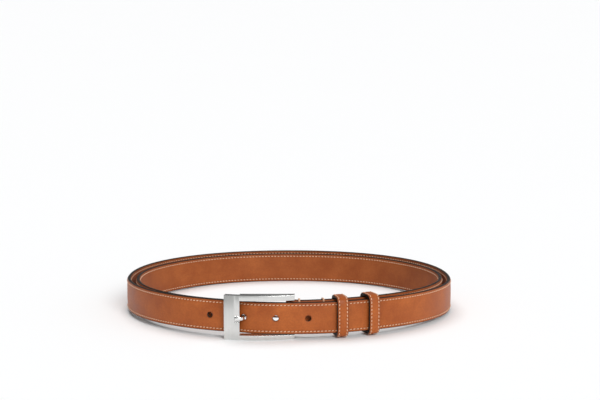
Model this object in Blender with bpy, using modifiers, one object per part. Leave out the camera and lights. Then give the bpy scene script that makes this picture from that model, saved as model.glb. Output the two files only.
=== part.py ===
"""Leather belt, buckled and standing on its edge as a two-layer oval coil.

The strap starts at the buckle's pivot pin, runs once round the inside of the coil, comes back through
the buckle and the two keepers, and runs once more round the outside, so that its tip ends behind the
buckle's front bar. The coil is drawn in plan as an oval: a place along the strap is a turn angle, in
degrees from the front centre towards the right, and a depth, measured inwards from the oval.
Millimetres in the constants, metres in the scene, +Z up, the floor at z = 0.
"""
import math

import bmesh
import bpy
from mathutils import Matrix, Vector

MM = 0.001

# Coil, in plan
OVAL_HALF_WIDTH = 134.3      # outer face of the outer turn, at the left and right
OVAL_FRONT = 114.0           # the same, at the front
OVAL_BACK = 130.5            # the same, at the back
BACK_POWER = 2.12            # the back half is a little squarer than an ellipse
COIL_CENTRE_Y = -6.975       # puts the middle of the whole belt's box over the origin

# How far the buckle lifts the strap off the floor: its share of this at turn angles, none at the back
LIFT_ROUTE = [
    (0.0, 4.6), (30.0, 5.2), (90.0, 5.2), (270.0, 4.6), (338.0, 4.25), (372.0, 4.1), (390.0, 4.5),
    (450.0, 3.6), (630.0, 5.0), (702.0, 5.0),
]

# Strap
STRAP_WIDTH = 25.0
FACE_PLY = 1.1
CORE_PLY = 0.6
LINING_PLY = 0.8
GLUE_GAP = 0.3               # between plies, and between any two pieces that touch
STRAP_THICK = FACE_PLY + CORE_PLY + LINING_PLY + 2 * GLUE_GAP
TIP_ROUNDING = 6.0
LINING_START = 4.3           # turn angles
STRAP_END = 702.0
FLAP_END = 14.7

# Depth of the strap's middle inside the oval, at turn angles
STRAP_ROUTE = [
    (0.0, 7.4), (30.0, 8.3), (90.0, 8.7), (135.0, 15.4), (180.0, 16.8), (225.0, 15.6), (270.0, 9.0),
    (318.0, 5.2), (338.5, 5.0), (350.0, 1.55), (640.0, 1.55), (690.0, 0.3), (STRAP_END, 0.3),
]

# Holes
HOLE_RADIUS = 2.35
HOLE_PITCH = 25.0
HOLES_EACH_WAY = 2
MIDDLE_HOLE_ANGLE = 355.85
TAIL_HOLE_ANGLE = 693.3

# Edge stitching
STITCH_INSET = 2.2
THREAD_WIDE = 0.9
THREAD_THICK = 0.25
OUTER_THREAD_RANGE = (17.0, 700.0)
INNER_THREAD_RANGE = (17.0, 696.0)

# Buckle
PIN_RADIUS = 2.0
PIVOT = (1.5, -104.75)
FRAME_HEIGHT = 35.0
UPPER_BAR = 4.2
LOWER_BAR = 3.8
FRAME_LEFT = (-49.6, -113.2)
FRAME_RIGHT = (5.0, -113.0)
FRAME_BOW = 4.0              # how far the front face bulges past the line between its ends
FRAME_BACK = -108.6          # straight back of the upper and lower bars
FRONT_BAR_THICK = 4.6        # between its upper and lower ends, where the strap passes behind it
WINDOW_LEFT = -37.4          # inner edge of the front bar
LUG_BACK = -101.2            # the lugs carry the pin behind the upper and lower bars
LUG_LEFT = -3.4
LUG_STEP = 1.5               # the lugs are this much lower than the bars, at the top and the bottom
PRONG_MIDDLE = 16.65         # height of the prong, its notch and its slot: the middle of its hole
NOTCH = (-41.3, -113.3)      # end and floor of the prong's rest in the front bar
NOTCH_HEIGHT = 5.2
PRONG_WIDE = 3.0
PRONG_THICK = 2.2
PRONG_ROUTE = [
    (-1.0, -104.6), (-12.0, -103.7), (-24.0, -103.0), (-30.2, -102.9), (-33.1, -104.0),
    (-34.4, -107.2), (-34.6, -110.8), (-35.4, -113.8), (-37.6, -114.9), (-40.6, -114.7),
]
EYE_RADIUS = 3.6
SLOT_HEIGHT = 5.2            # opening in the fold that the prong works in

# Keepers
KEEPER_WIDE = 9.0
KEEPER_FACE = 1.1
KEEPER_LINING = 0.7
KEEPER_MIDDLE_DEPTH = 5.1    # inside of the loop, as depths and heights
KEEPER_TO_FRONT = 7.5
KEEPER_TO_BACK = 6.3
KEEPER_HALF_HEIGHT = 13.6
KEEPER_JOINT = 0.6           # butt joint of each loop's ends, at the back
KEEPERS = {"fixed": (17.95, 16.95), "sliding": (29.2, 17.05)}    # turn angle, height of the middle
KEEPER_INSET = 1.4           # the rows of stitching stand this far from the loop's edges
STAPLE_WIRE = 0.7
STAPLE_SPAN = 5.0

# Thread bars over the strap's edges that hold the folded end
TACK_ANGLES = (3.8, 12.2)
TACK_WIDE = 1.2
TACK_THICK = 0.5
TACK_REACH = 3.0
TACK_SLACK = 0.9             # extra depth of the bars beside the pin, where the flap stands off

LEATHER = (0.40, 0.125, 0.04)
LINING = (0.34, 0.105, 0.035)
FILLER = (0.30, 0.17, 0.09)
THREAD = (0.78, 0.45, 0.27)
STEEL = (0.72, 0.72, 0.70)


def smooth(t):
    """Ease from 0 to 1 with no slope at either end."""
    return t * t * (3.0 - 2.0 * t)


def along_route(route, angle):
    """Value at a turn angle, eased between a route's given values."""
    for (a, low), (b, high) in zip(route, route[1:]):
        if angle <= b:
            return low + (high - low) * smooth(max(0.0, angle - a) / (b - a))
    return route[-1][1]


def strap_depth(angle):
    """Depth of the strap's middle at a turn angle."""
    return along_route(STRAP_ROUTE, angle)


def oval(angle):
    """Point of the oval at a turn angle, and its outward normal, both in plan."""
    turn = math.radians(angle)
    across, forward = math.sin(turn), math.cos(turn)
    depth, power = (OVAL_FRONT, 2.0) if forward > 0 else (OVAL_BACK, BACK_POWER)
    across = math.copysign(abs(across) ** (2.0 / power), across)
    forward = math.copysign(abs(forward) ** (2.0 / power), forward)
    normal = Vector((math.copysign(abs(across) ** (power - 1.0), across) / OVAL_HALF_WIDTH,
                     -math.copysign(abs(forward) ** (power - 1.0), forward) / depth))
    return Vector((OVAL_HALF_WIDTH * across, -depth * forward)), normal.normalized()


def place(angle, depth):
    """Plan point at a turn angle and a depth inside the oval."""
    point, normal = oval(angle)
    return point - normal * depth


def strap_middle(angle):
    """Height of the strap's middle line at a turn angle."""
    return STRAP_WIDTH / 2 + along_route(LIFT_ROUTE, angle) * (1.0 + math.cos(math.radians(angle))) / 2


def direction(angle, depth=0.0):
    """Unit vector along the strap at a turn angle."""
    step = 0.05
    along = place(angle + step, depth) - place(angle - step, depth)
    return along.normalized()


def strap_direction(angle):
    """Unit vector along the strap itself, which also moves in and out."""
    step = 0.2
    a, b = angle - step, angle + step
    return (place(b, strap_depth(b)) - place(a, strap_depth(a))).normalized()


def turn_stations(start, end):
    """Turn angles along a stretch of strap: every 5 degrees, closer where it bends sharply."""
    angles = [start]
    for k in range(int(start // 1.25) + 1, int(math.ceil(end / 1.25))):
        angle = 1.25 * k
        sharp = 337.5 <= angle <= 351.25 or angle > STRAP_END - 4.0 or angle < 5.0
        if (sharp or angle % 5.0 == 0.0) and angle - angles[-1] > 0.6 and end - angle > 0.6:
            angles.append(angle)
    return angles + [end]


def material(name, color, roughness, metallic=0.0):
    """A Principled material, made once per name."""
    found = bpy.data.materials.get(name)
    if found:
        return found
    made = bpy.data.materials.new(name)
    made.use_nodes = True
    shader = made.node_tree.nodes["Principled BSDF"]
    shader.inputs["Base Color"].default_value = (*color, 1.0)
    shader.inputs["Roughness"].default_value = roughness
    shader.inputs["Metallic"].default_value = metallic
    made.diffuse_color = (*color, 1.0)
    return made


def new_object(name, mesh, collection, look=None, origin=(0.0, 0.0, 0.0)):
    """Object in the coil's own axes, under the coil's empty, with its origin where asked."""
    offset = Vector(origin) * MM
    mesh.transform(Matrix.Scale(MM, 4))
    mesh.transform(Matrix.Translation(-offset))
    obj = bpy.data.objects.new(name, mesh)
    collection.objects.link(obj)
    obj.parent = coil
    obj.location = offset
    if look:
        mesh.materials.append(look)
    return obj


def mesh_from(bm, name):
    mesh = bpy.data.meshes.new(name)
    bmesh.ops.recalc_face_normals(bm, faces=bm.faces)
    bm.to_mesh(mesh)
    bm.free()
    return mesh


def sheet_mesh(name, rows):
    """Open surface through rows of points, one row per station."""
    bm = bmesh.new()
    grid = [[bm.verts.new(point) for point in row] for row in rows]
    for row, following in zip(grid, grid[1:]):
        for k in range(len(row) - 1):
            bm.faces.new((row[k], following[k], following[k + 1], row[k + 1]))
    return mesh_from(bm, name)


def solidify(obj, thickness):
    """Give an open surface its thickness, half to each side."""
    wall = obj.modifiers.new("thickness", "SOLIDIFY")
    wall.thickness = thickness * MM
    wall.offset = 0.0
    wall.use_even_offset = True
    return obj


def cut(obj, cutter, operation="DIFFERENCE"):
    boolean = obj.modifiers.new(cutter.name, "BOOLEAN")
    boolean.operation = operation
    boolean.object = cutter
    boolean.solver = "EXACT"


def as_cutter(obj):
    obj.hide_render = True
    obj.display_type = "WIRE"
    return obj


def box_cutter(name, low, high):
    """Box between two corners, as a cutter."""
    bm = bmesh.new()
    bmesh.ops.create_cube(bm, size=1.0)
    size = Vector(high) - Vector(low)
    middle = (Vector(high) + Vector(low)) / 2
    bmesh.ops.scale(bm, vec=size, verts=bm.verts)
    bmesh.ops.translate(bm, vec=middle, verts=bm.verts)
    return as_cutter(new_object(name, mesh_from(bm, name), cutters))


def cylinder_mesh(name, radius, length, centre, axis=(0.0, 0.0, 1.0), segments=24):
    """Closed cylinder about a centre, along an axis."""
    bm = bmesh.new()
    bmesh.ops.create_cone(bm, cap_ends=True, segments=segments, radius1=radius, radius2=radius, depth=length)
    turn = Vector((0.0, 0.0, 1.0)).rotation_difference(Vector(axis)).to_matrix().to_4x4()
    bmesh.ops.transform(bm, matrix=Matrix.Translation(Vector(centre)) @ turn, verts=bm.verts)
    return mesh_from(bm, name)


def outline_object(name, points, low, high, collection, look, origin=(0.0, 0.0, 0.0)):
    """Filled plan outline, extruded between two heights, as a mesh."""
    curve = bpy.data.curves.new(name + "_outline", "CURVE")
    curve.dimensions = "2D"
    curve.fill_mode = "BOTH"
    curve.extrude = (high - low) / 2
    spline = curve.splines.new("POLY")
    spline.points.add(len(points) - 1)
    for target, (x, y) in zip(spline.points, points):
        target.co = (x, y, 0.0, 1.0)
    spline.use_cyclic_u = True
    drawn = bpy.data.objects.new(name + "_outline", curve)
    scene.collection.objects.link(drawn)
    mesh = bpy.data.meshes.new_from_object(drawn.evaluated_get(bpy.context.evaluated_depsgraph_get()))
    bpy.data.objects.remove(drawn)
    bm = bmesh.new()
    bm.from_mesh(mesh)
    bmesh.ops.remove_doubles(bm, verts=bm.verts, dist=0.001)
    bmesh.ops.translate(bm, vec=(0.0, 0.0, (high + low) / 2), verts=bm.verts)
    return new_object(name, mesh_from(bm, name), collection, look, origin)


def bevel(obj, width, segments=2, angle=35.0):
    rounding = obj.modifiers.new("edges", "BEVEL")
    rounding.width = width * MM
    rounding.segments = segments
    rounding.limit_method = "ANGLE"
    rounding.angle_limit = math.radians(angle)


# ---------------------------------------------------------------- strap

def strap_rows(angles, depth_from_middle, low, high):
    """Rows of a strip along the strap, between two heights from the strap's middle line."""
    rows = []
    for angle in angles:
        point = place(angle, strap_depth(angle) + depth_from_middle)
        # near the tip the strip narrows to the tip's rounded corners
        left = (STRAP_END - angle) * math.radians(1.0) * OVAL_HALF_WIDTH
        limit = STRAP_WIDTH / 2
        if left < TIP_ROUNDING:
            limit += math.sqrt(TIP_ROUNDING ** 2 - (TIP_ROUNDING - left) ** 2) - TIP_ROUNDING
        middle = strap_middle(angle)
        rows.append([
            (point.x, point.y, middle + max(low, -limit)),
            (point.x, point.y, middle + min(high, limit)),
        ])
    return rows


def fold_rows():
    """Rows of the face ply's turned end: from the flap's end, round the pin, to the strap's start."""
    flap_depth = STRAP_THICK / 2 + GLUE_GAP + FACE_PLY / 2
    wrap = PIN_RADIUS + GLUE_GAP + FACE_PLY / 2
    points = []
    for angle in (FLAP_END, 12.0, 9.5, 7.0, 4.8):
        points.append(place(angle, strap_depth(angle) + flap_depth))
    leave = points[-1]
    top = Vector((PIVOT[0] + wrap * math.sin(0.25), PIVOT[1] + wrap * math.cos(0.25)))
    points.append(leave.lerp(top, 0.5))
    turns = 10
    for k in range(turns + 1):
        around = math.pi / 2 - 0.25 + (math.pi + 0.25) * k / turns
        points.append(Vector((PIVOT[0] + wrap * math.cos(around), PIVOT[1] + wrap * math.sin(around))))
    middle = strap_middle(0.0)
    half = STRAP_WIDTH / 2
    return [[(p.x, p.y, middle - half), (p.x, p.y, middle + half)] for p in points]


def hole_angles():
    """Turn angles of the main row of holes, HOLE_PITCH apart along the strap."""
    angles = [MIDDLE_HOLE_ANGLE]
    for sign in (-1, 1):
        angle = MIDDLE_HOLE_ANGLE
        for _ in range(HOLES_EACH_WAY):
            gone = 0.0
            here = place(angle, strap_depth(angle))
            while gone < HOLE_PITCH:
                angle += sign * 0.1
                there = place(angle, strap_depth(angle))
                gone += (there - here).length
                here = there
            angles.append(angle)
    return sorted(angles)


def hole_cutter(name, angle):
    """Punch for one round hole, square to the strap there and long enough for this layer only."""
    middle = place(angle, strap_depth(angle))
    along = strap_direction(angle)
    axis = (along.y, -along.x, 0.0)
    centre = (middle.x, middle.y, strap_middle(angle))
    mesh = cylinder_mesh(name, HOLE_RADIUS, STRAP_THICK + 1.2, centre, axis)
    return as_cutter(new_object(name, mesh, cutters))


def make_strap():
    half = STRAP_WIDTH / 2
    face_depth = (FACE_PLY - STRAP_THICK) / 2
    core_depth = face_depth + FACE_PLY / 2 + GLUE_GAP + CORE_PLY / 2
    lining_depth = (STRAP_THICK - LINING_PLY) / 2

    face_rows = fold_rows() + strap_rows(turn_stations(2.2, STRAP_END), face_depth, -half, half)
    plies = turn_stations(LINING_START, STRAP_END)
    face = new_object("strap_face", sheet_mesh("strap_face", face_rows), parts, leather)
    core = new_object("strap_core", sheet_mesh("strap_core", strap_rows(plies, core_depth, -half, half)),
                      parts, filler)
    lining = new_object("strap_lining",
                        sheet_mesh("strap_lining", strap_rows(plies, lining_depth, -half, half)),
                        parts, lining_leather)
    solidify(face, FACE_PLY)
    solidify(core, CORE_PLY)
    solidify(lining, LINING_PLY)

    punches = [hole_cutter(f"punch_{k + 1}", angle) for k, angle in enumerate(hole_angles())]
    punches.append(hole_cutter("punch_tail", TAIL_HOLE_ANGLE))
    for ply in (face, core, lining):
        for punch in punches:
            cut(ply, punch)

    slot = box_cutter("prong_slot", (-6.0, -109.3, PRONG_MIDDLE - SLOT_HEIGHT / 2),
                      (9.0, -97.0, PRONG_MIDDLE + SLOT_HEIGHT / 2))
    cut(face, slot)


def make_edge_threads():
    """Two rows of stitching on each face, each row one thread."""
    inset = STRAP_WIDTH / 2 - STITCH_INSET
    proud = STRAP_THICK / 2 + GLUE_GAP + THREAD_THICK / 2
    sides = {"outer": (-proud, OUTER_THREAD_RANGE), "inner": (proud, INNER_THREAD_RANGE)}
    for side, (depth, (start, end)) in sides.items():
        for row, height in (("upper", inset), ("lower", -inset)):
            name = f"edge_thread_{side}_{row}"
            rows = strap_rows(turn_stations(start, end), depth, height - THREAD_WIDE / 2,
                              height + THREAD_WIDE / 2)
            solidify(new_object(name, sheet_mesh(name, rows), parts, thread), THREAD_THICK)


# ---------------------------------------------------------------- loops across the strap

def cross_rows(angle, profile, half_width):
    """Rows of a band that runs across the strap: a profile of depths and heights, swept along it."""
    along = direction(angle) * half_width
    rows = []
    for depth, height in profile:
        point = place(angle, depth)
        rows.append([
            (point.x - along.x, point.y - along.y, height),
            (point.x + along.x, point.y + along.y, height),
        ])
    return rows


def make_tacks():
    """Four thread bars, two over each edge of the strap, round the strap and the turned-back flap."""
    for place_name, angle in zip(("pin_side", "keeper_side"), TACK_ANGLES):
        middle = strap_depth(angle)
        lift = GLUE_GAP + TACK_THICK / 2
        front = middle - STRAP_THICK / 2 - lift
        back = middle + STRAP_THICK / 2 + GLUE_GAP + FACE_PLY + lift
        if angle < LINING_START:
            back += TACK_SLACK
        for row, sign in (("upper", 1), ("lower", -1)):
            name = f"fold_tack_{place_name}_{row}"
            edge = strap_middle(angle) + sign * (STRAP_WIDTH / 2 + lift)
            leg = edge - sign * (lift + TACK_REACH)
            rows = cross_rows(angle, [(front, leg), (front, edge), (back, edge), (back, leg)], TACK_WIDE / 2)
            solidify(new_object(name, sheet_mesh(name, rows), parts, thread), TACK_THICK)


def keeper_profile(middle_height, outwards, steps=36):
    """Rounded loop round both layers, from one side of the back joint to the other."""
    back = KEEPER_TO_BACK + outwards
    points = [(KEEPER_MIDDLE_DEPTH + back, middle_height + KEEPER_JOINT / 2)]
    for k in range(1, steps):
        turn = 2 * math.pi * k / steps
        across, up = math.cos(turn), math.sin(turn)
        power = 2.0 / (6.0 if across > 0 else 5.0)
        reach = back if across > 0 else KEEPER_TO_FRONT + outwards
        depth = KEEPER_MIDDLE_DEPTH + math.copysign(abs(across) ** power, across) * reach
        height = middle_height + math.copysign(abs(up) ** power, up) * (KEEPER_HALF_HEIGHT + outwards)
        points.append((depth, height))
    points.append((KEEPER_MIDDLE_DEPTH + back, middle_height - KEEPER_JOINT / 2))
    return points


def staple_box(name, angle, depths, heights, half_width, collection, look=None, origin=(0, 0, 0)):
    """Small box across the strap, between two depths and two heights."""
    rows = cross_rows(angle, [(depths[0], heights[0]), (depths[1], heights[0])], half_width)
    bm = bmesh.new()
    corners = []
    for height in heights:
        for row in rows:
            for x, y, _ in row:
                corners.append(bm.verts.new((x, y, height)))
    bmesh.ops.convex_hull(bm, input=corners)
    return new_object(name, mesh_from(bm, name), collection, look, origin)


def make_keeper(kind, angle, middle_height):
    """One keeper: face and lining plies, two rows of stitching, and the staple at its joint."""
    anchor = place(angle, KEEPER_MIDDLE_DEPTH)
    origin = (anchor.x, anchor.y, middle_height)
    prefix = f"keeper_{kind}"
    lining_out = KEEPER_LINING / 2
    face_out = KEEPER_LINING + GLUE_GAP + KEEPER_FACE / 2
    surface = KEEPER_LINING + GLUE_GAP + KEEPER_FACE

    plies = []
    for part, outwards, thickness, look in (("face", face_out, KEEPER_FACE, leather),
                                            ("lining", lining_out, KEEPER_LINING, lining_leather)):
        name = f"{prefix}_{part}"
        rows = cross_rows(angle, keeper_profile(middle_height, outwards), KEEPER_WIDE / 2)
        plies.append(solidify(new_object(name, sheet_mesh(name, rows), parts, look, origin), thickness))

    # a staple closes the joint: its crown on the outside of the loop, its legs through both plies
    outside = KEEPER_MIDDLE_DEPTH + KEEPER_TO_BACK + surface
    crown = (outside + GLUE_GAP, outside + GLUE_GAP + STAPLE_WIRE)
    reach = (outside - surface + 0.1, crown[1] - 0.1)
    staple = staple_box(f"{prefix}_staple", angle, crown,
                        (middle_height - STAPLE_SPAN / 2, middle_height + STAPLE_SPAN / 2),
                        STAPLE_WIRE / 2, parts, steel, origin)
    for sign in (-1, 1):
        leg_top = middle_height + sign * STAPLE_SPAN / 2
        leg_end = leg_top - sign * STAPLE_WIRE
        name = f"{prefix}_leg_{'upper' if sign > 0 else 'lower'}"
        leg = as_cutter(staple_box(name, angle, reach, sorted((leg_top, leg_end)), STAPLE_WIRE / 2, cutters))
        cut(staple, leg, "UNION")
        room = GLUE_GAP
        hole = as_cutter(staple_box(name + "_hole", angle, (reach[0] - 1.0, reach[1] - 0.1),
                                    sorted((leg_top + sign * room, leg_end - sign * room)),
                                    STAPLE_WIRE / 2 + room, cutters))
        for ply in plies:
            cut(ply, hole)

    proud = surface + GLUE_GAP + THREAD_THICK / 2
    along = direction(angle)
    for side, sign in (("near", -1), ("far", 1)):
        name = f"{prefix}_thread_{side}"
        profile = keeper_profile(middle_height, proud)[3:-3]
        shift = along * sign * (KEEPER_WIDE / 2 - KEEPER_INSET)
        rows = [[(x + shift.x, y + shift.y, z) for x, y, z in row]
                for row in cross_rows(angle, profile, THREAD_WIDE / 2)]
        solidify(new_object(name, sheet_mesh(name, rows), parts, thread, origin), THREAD_THICK)


# ---------------------------------------------------------------- buckle

def frame_front(steps=14):
    """Points of the frame's bowed front face in plan, left to right."""
    left, right = Vector(FRAME_LEFT), Vector(FRAME_RIGHT)
    chord = right - left
    half = chord.length / 2
    radius = (half ** 2 + FRAME_BOW ** 2) / (2 * FRAME_BOW)
    forward = Vector((chord.y, -chord.x)).normalized()
    centre = (left + right) / 2 + forward * (FRAME_BOW - radius)
    reach = math.asin(half / radius)
    base = math.atan2(forward.y, forward.x)
    points = []
    for k in range(steps + 1):
        around = base - reach + 2 * reach * k / steps
        points.append(centre + radius * Vector((math.cos(around), math.sin(around))))
    return points, centre, radius


def make_frame():
    front, centre, radius = frame_front()
    origin = (*PIVOT, 0.0)
    left_end, right_end = FRAME_LEFT[0], FRAME_RIGHT[0]
    outline = [(p.x, p.y) for p in front]
    outline += [(right_end, LUG_BACK + 1.0), (right_end - 1.0, LUG_BACK), (LUG_LEFT + 3.2, LUG_BACK)]
    outline += [(LUG_LEFT + 0.6, LUG_BACK - 1.6), (LUG_LEFT - 2.2, LUG_BACK - 5.0)]
    outline += [(LUG_LEFT - 4.6, FRAME_BACK), (left_end + 1.0, FRAME_BACK), (left_end, FRAME_BACK - 1.0)]
    frame = outline_object("buckle_frame", outline, 0.0, FRAME_HEIGHT, parts, steel, origin)

    window_top = FRAME_HEIGHT - UPPER_BAR
    window = box_cutter("frame_window", (WINDOW_LEFT, -130.0, LOWER_BAR), (right_end + 5.0, -90.0, window_top))
    notch = box_cutter("prong_notch", (NOTCH[0], -125.0, PRONG_MIDDLE - NOTCH_HEIGHT / 2),
                       (WINDOW_LEFT + 1.0, NOTCH[1], PRONG_MIDDLE + NOTCH_HEIGHT / 2))
    # room for the strap behind the front bar, to the curve of the bar's face
    relief = [centre + (point - centre) * (radius - FRONT_BAR_THICK) / radius
              for point in front if point.x < WINDOW_LEFT + 8.0]
    relief = [(p.x, p.y) for p in relief]
    relief += [(relief[-1][0], FRAME_BACK + 6.0), (relief[0][0] - 8.0, FRAME_BACK + 6.0)]
    relief_cut = as_cutter(outline_object("strap_relief", relief, LOWER_BAR, window_top, cutters, None))
    steps = [box_cutter(name, (LUG_LEFT - 12.0, FRAME_BACK, low), (right_end + 5.0, LUG_BACK + 5.0, high))
             for name, low, high in (("lower_step", -5.0, LUG_STEP),
                                     ("upper_step", FRAME_HEIGHT - LUG_STEP, FRAME_HEIGHT + 5.0))]
    middle = (*PIVOT, FRAME_HEIGHT / 2)
    seat_mesh = cylinder_mesh("pin_seat", PIN_RADIUS + GLUE_GAP, FRAME_HEIGHT, middle)
    seat = as_cutter(new_object("pin_seat", seat_mesh, cutters))
    for cutter in (window, notch, relief_cut, *steps, seat):
        cut(frame, cutter)
    bevel(frame, 0.45)

    # the pin's ends are flush with the lugs
    pin_mesh = cylinder_mesh("buckle_pin", PIN_RADIUS, FRAME_HEIGHT - 2 * LUG_STEP, middle)
    new_object("buckle_pin", pin_mesh, parts, steel, origin)


def smooth_route(points, per_span=4):
    """Catmull-Rom curve through a list of plan points."""
    ends = [2 * Vector(points[0]) - Vector(points[1])] + [Vector(p) for p in points]
    ends.append(2 * Vector(points[-1]) - Vector(points[-2]))
    curve = []
    for a, b, c, d in zip(ends, ends[1:], ends[2:], ends[3:]):
        for k in range(per_span):
            t = k / per_span
            curve.append(0.5 * (2 * b + (c - a) * t + (2 * a - 5 * b + 4 * c - d) * t * t
                                + (3 * b - a - 3 * c + d) * t ** 3))
    return curve + [Vector(points[-1])]


def make_prong():
    """The prong: an eye rolled round the pin and an arm that rises through a hole to the front bar."""
    origin = (*PIVOT, 0.0)
    route = smooth_route(PRONG_ROUTE)
    left_side, right_side = [], []
    for k, point in enumerate(route):
        ahead = route[min(k + 1, len(route) - 1)] - route[max(k - 1, 0)]
        side = Vector((-ahead.y, ahead.x)).normalized() * PRONG_THICK / 2
        left_side.append(point + side)
        right_side.append(point - side)
    tip = route[-1]
    heading = (route[-1] - route[-2]).normalized()
    nose = [tip + heading * PRONG_THICK * 0.32]
    outline = [(p.x, p.y) for p in left_side + nose + right_side[::-1]]
    middle = PRONG_MIDDLE
    prong = outline_object("prong", outline, middle - PRONG_WIDE / 2, middle + PRONG_WIDE / 2, parts, steel,
                           origin)
    bevel(prong, 0.5, 2, 50.0)
    eye_mesh = cylinder_mesh("prong_eye", EYE_RADIUS, PRONG_WIDE + 0.4, (*PIVOT, middle), segments=32)
    eye = as_cutter(new_object("prong_eye", eye_mesh, cutters))
    bore_mesh = cylinder_mesh("prong_bore", PIN_RADIUS + GLUE_GAP, 20.0, (*PIVOT, middle), segments=32)
    bore = as_cutter(new_object("prong_bore", bore_mesh, cutters))
    cut(prong, eye, "UNION")
    cut(prong, bore)


# ---------------------------------------------------------------- assembly

for old in list(bpy.data.objects):
    bpy.data.objects.remove(old)

scene = bpy.context.scene
parts = bpy.data.collections.new("leather_belt")
cutters = bpy.data.collections.new("cutters")
scene.collection.children.link(parts)
scene.collection.children.link(cutters)

coil = bpy.data.objects.new("coil_centre", None)
parts.objects.link(coil)
coil.location = (0.0, COIL_CENTRE_Y * MM, 0.0)

leather = material("tan_leather", LEATHER, 0.45)
lining_leather = material("lining_leather", LINING, 0.55)
filler = material("filler_board", FILLER, 0.8)
thread = material("ecru_thread", THREAD, 0.7)
steel = material("satin_steel", STEEL, 0.25, 1.0)

make_strap()
make_edge_threads()
make_tacks()
for keeper_kind, (keeper_angle, keeper_height) in KEEPERS.items():
    make_keeper(keeper_kind, keeper_angle, keeper_height)
make_frame()
make_prong()

bpy.context.view_layer.update()
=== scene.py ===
"""Looks of the leather belt: detailed pieces in the places that its CAD nodes hold."""
import bisect
import math
import random

import bmesh
import bpy
from mathutils import Matrix, Vector


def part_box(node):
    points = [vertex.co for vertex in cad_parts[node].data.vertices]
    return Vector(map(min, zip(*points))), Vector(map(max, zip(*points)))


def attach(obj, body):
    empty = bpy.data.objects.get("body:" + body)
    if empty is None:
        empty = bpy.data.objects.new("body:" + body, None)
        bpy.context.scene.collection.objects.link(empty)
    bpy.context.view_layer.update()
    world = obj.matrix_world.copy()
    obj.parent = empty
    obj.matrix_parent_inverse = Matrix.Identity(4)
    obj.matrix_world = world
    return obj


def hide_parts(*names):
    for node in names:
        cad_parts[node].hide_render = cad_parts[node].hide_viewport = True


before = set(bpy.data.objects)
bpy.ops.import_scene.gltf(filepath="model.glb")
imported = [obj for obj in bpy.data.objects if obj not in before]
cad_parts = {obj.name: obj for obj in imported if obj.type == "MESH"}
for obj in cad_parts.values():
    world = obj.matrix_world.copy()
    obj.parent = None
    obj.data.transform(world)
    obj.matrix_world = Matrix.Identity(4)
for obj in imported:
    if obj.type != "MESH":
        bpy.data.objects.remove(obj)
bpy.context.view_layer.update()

MM = 0.001
rng = random.Random(7)

# The belt's plan, as in the CAD source: millimetres, in the coil's own axes
OVAL_HALF_WIDTH = 134.3
OVAL_FRONT = 114.0
OVAL_BACK = 130.5
BACK_POWER = 2.12
COIL_CENTRE_Y = -6.975
LIFT_ROUTE = [
    (0.0, 4.6), (30.0, 5.2), (90.0, 5.2), (270.0, 4.6), (338.0, 4.25), (372.0, 4.1), (390.0, 4.5),
    (450.0, 3.6), (630.0, 5.0), (702.0, 5.0),
]
STRAP_WIDTH = 25.0
STRAP_HALF = 1.55            # half of the strap's thickness
FACE_PLY = 1.1
GLUE_GAP = 0.3
TIP_ROUNDING = 6.0
LINING_START = 4.3
STRAP_START = 2.2
STRAP_END = 702.0
FLAP_ANGLES = (14.7, 12.0, 9.5, 7.0, 4.8)
STRAP_ROUTE = [
    (0.0, 7.4), (30.0, 8.3), (90.0, 8.7), (135.0, 15.4), (180.0, 16.8), (225.0, 15.6), (270.0, 9.0),
    (318.0, 5.2), (338.5, 5.0), (350.0, 1.55), (640.0, 1.55), (690.0, 0.3), (STRAP_END, 0.3),
]
HOLE_RADIUS = 2.35
HOLE_PITCH = 25.0
HOLES_EACH_WAY = 2
MIDDLE_HOLE_ANGLE = 355.85
TAIL_HOLE_ANGLE = 693.3
STITCH_LINE = 10.3           # height of the stitching from the strap's middle
STITCH_PITCH = 2.85
OUTER_STITCHES = (17.0, 700.0)
INNER_STITCHES = (17.0, 696.0)

# Buckle
PIN_RADIUS = 2.0
PIVOT = (1.5, -104.75)
FRAME_HEIGHT = 35.0
UPPER_BAR = 4.2
LOWER_BAR = 3.8
FRAME_LEFT = (-49.6, -113.2)
FRAME_RIGHT = (5.0, -113.0)
FRAME_BOW = 4.0
FRAME_BACK = -108.6
FRONT_BAR_THICK = 4.6
WINDOW_LEFT = -37.4
LUG_BACK = -101.2
LUG_LEFT = -3.4
LUG_STEP = 1.5
PRONG_MIDDLE = 16.65
NOTCH = (-41.3, -113.3)
NOTCH_HEIGHT = 5.2
PRONG_WIDE = 3.0
PRONG_THICK = 2.2
PRONG_ROUTE = [
    (-1.0, -104.6), (-12.0, -103.7), (-24.0, -103.0), (-30.2, -102.9), (-33.1, -104.0),
    (-34.4, -107.2), (-34.6, -110.8), (-35.4, -113.8), (-37.6, -114.9), (-40.6, -114.7),
]
EYE_RADIUS = 3.6
SLOT_HEIGHT = 5.2
FRONT_CHAMFER = 0.9          # round the outer edges of the front face
EDGE_ROUNDING = 0.5

# Keepers
KEEPER_MIDDLE_DEPTH = 5.1
KEEPER_TO_FRONT = 7.5
KEEPER_TO_BACK = 6.3
KEEPER_HALF_HEIGHT = 13.6
KEEPER_JOINT = 0.6
KEEPERS = {"fixed": (17.95, 16.95, "strap"), "sliding": (29.2, 17.05, "sliding_keeper")}
KEEPER_LINING = (0.0, 0.7)   # outwards from the inside of the loop
KEEPER_FACE = (1.0, 2.1)
KEEPER_STITCH = 3.1          # rows of stitching from the loop's middle
STAPLE_SPAN = 5.0
STAPLE_WIRE = 0.35
TACK_ANGLES = {"pin_side": 3.8, "keeper_side": 12.2}


# ---------------------------------------------------------------- the strap's path

def smooth(t):
    return t * t * (3.0 - 2.0 * t)


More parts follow.
